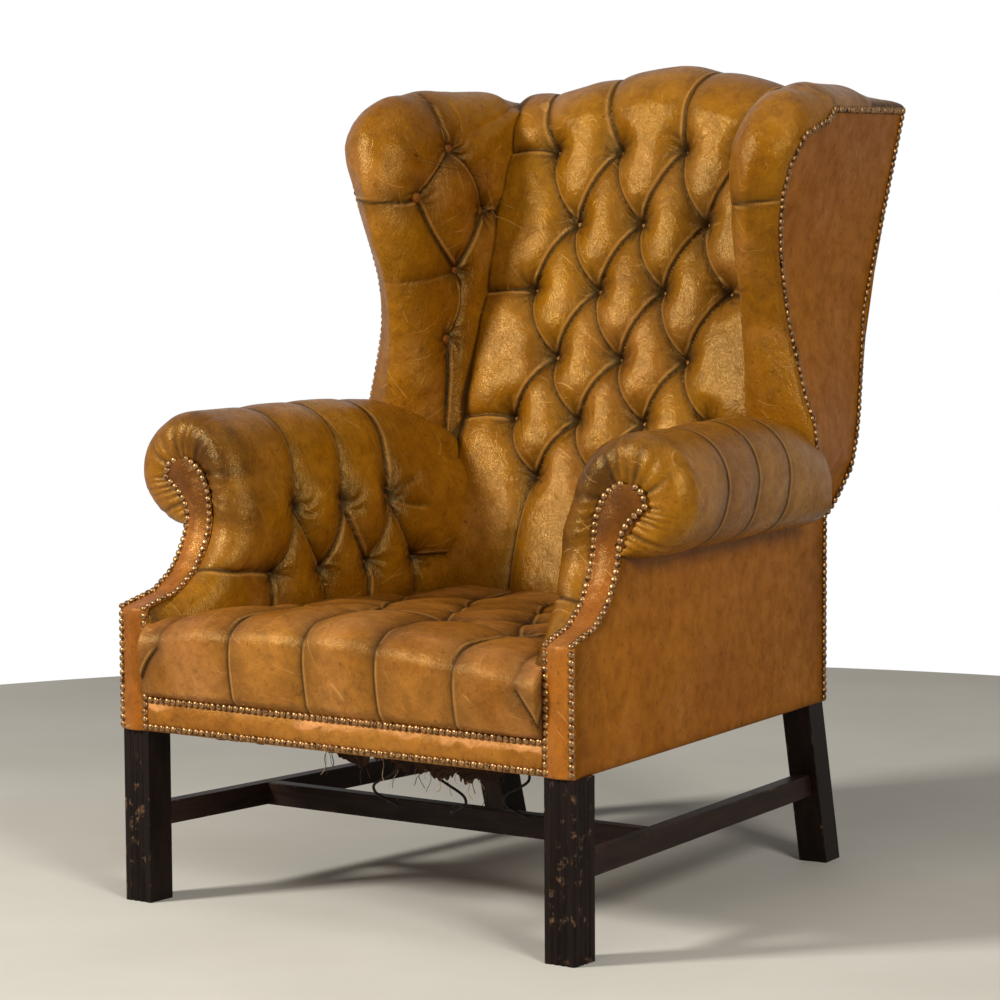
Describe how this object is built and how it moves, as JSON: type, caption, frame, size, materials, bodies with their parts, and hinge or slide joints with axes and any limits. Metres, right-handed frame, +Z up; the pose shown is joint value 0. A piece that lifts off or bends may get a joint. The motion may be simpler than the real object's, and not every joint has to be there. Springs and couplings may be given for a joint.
{
  "type": "tufted leather wing chair",
  "caption": "High-backed wing armchair with a deeply tufted tan leather back, wings, arms and seat, brass nail trim, rolled arms, and square dark legs joined by stretchers.",
  "frame": {"origin": "on the floor, in the middle of the box round the whole chair", "axes": "+Z up, the chair faces -Y, and +X is to the right of someone who stands in front of it"},
  "size_m": [0.8826, 0.897, 1.119],
  "materials": {
    "tan_leather": "waxed tan hide, creased and rubbed, satin",
    "dark_leather": "handled tan hide gone dark brown, satin",
    "stained_wood": "espresso stain, worn pale along the edges",
    "frame_wood": "sawn beech, unfinished",
    "aged_brass": "antiqued, rubbed bright on the crowns",
    "spring_steel": "black oiled wire",
    "jute": "coarse brown hessian and webbing, frayed",
    "stuffing": "cotton felt and hair"
  },
  "bodies": {
    "root": {"front_leg_left": "stained_wood", "front_leg_right": "stained_wood", "rear_post_left": "stained_wood", "rear_post_right": "stained_wood", "side_stretcher_left": "stained_wood", "side_stretcher_right": "stained_wood", "cross_stretcher": "stained_wood", "front_rail": "frame_wood", "side_rail_left": "frame_wood", "side_rail_right": "frame_wood", "rear_rail": "frame_wood", "corner_blocks": "frame_wood", "frame_dowels": "frame_wood", "crest_rail": "frame_wood", "lower_back_rail": "frame_wood", "arm_stump_left": "frame_wood", "arm_stump_right": "frame_wood", "scroll_block_left": "frame_wood", "scroll_block_right": "frame_wood", "arm_rail_left": "frame_wood", "arm_rail_right": "frame_wood", "wing_board_left": "frame_wood", "wing_board_right": "frame_wood", "seat_springs": "spring_steel", "spring_clips": "spring_steel", "seat_hessian": "jute", "seat_stuffing": "stuffing", "back_webbing": "jute", "back_stuffing": "stuffing", "arm_webbing_left": "jute", "arm_webbing_right": "jute", "arm_stuffing_left": "stuffing", "arm_stuffing_right": "stuffing", "seat_cover": "tan_leather", "inside_back_cover": "tan_leather", "inside_arm_cover_left": "tan_leather", "inside_arm_cover_right": "tan_leather", "inside_wing_cover_left": "tan_leather", "inside_wing_cover_right": "tan_leather", "outside_arm_left": "tan_leather", "outside_arm_right": "tan_leather", "outside_wing_left": "tan_leather", "outside_wing_right": "tan_leather", "outside_back": "tan_leather", "front_border": "tan_leather", "arm_facing_left": "dark_leather", "arm_facing_right": "dark_leather", "back_buttons": "tan_leather", "arm_buttons": "tan_leather", "wing_buttons": "tan_leather", "front_nails": "aged_brass", "facing_nails_left": "aged_brass", "facing_nails_right": "aged_brass", "wing_nails_left": "aged_brass", "wing_nails_right": "aged_brass", "back_nails_left": "aged_brass", "back_nails_right": "aged_brass", "dust_cloth": "jute"}
  },
  "joints": []
}
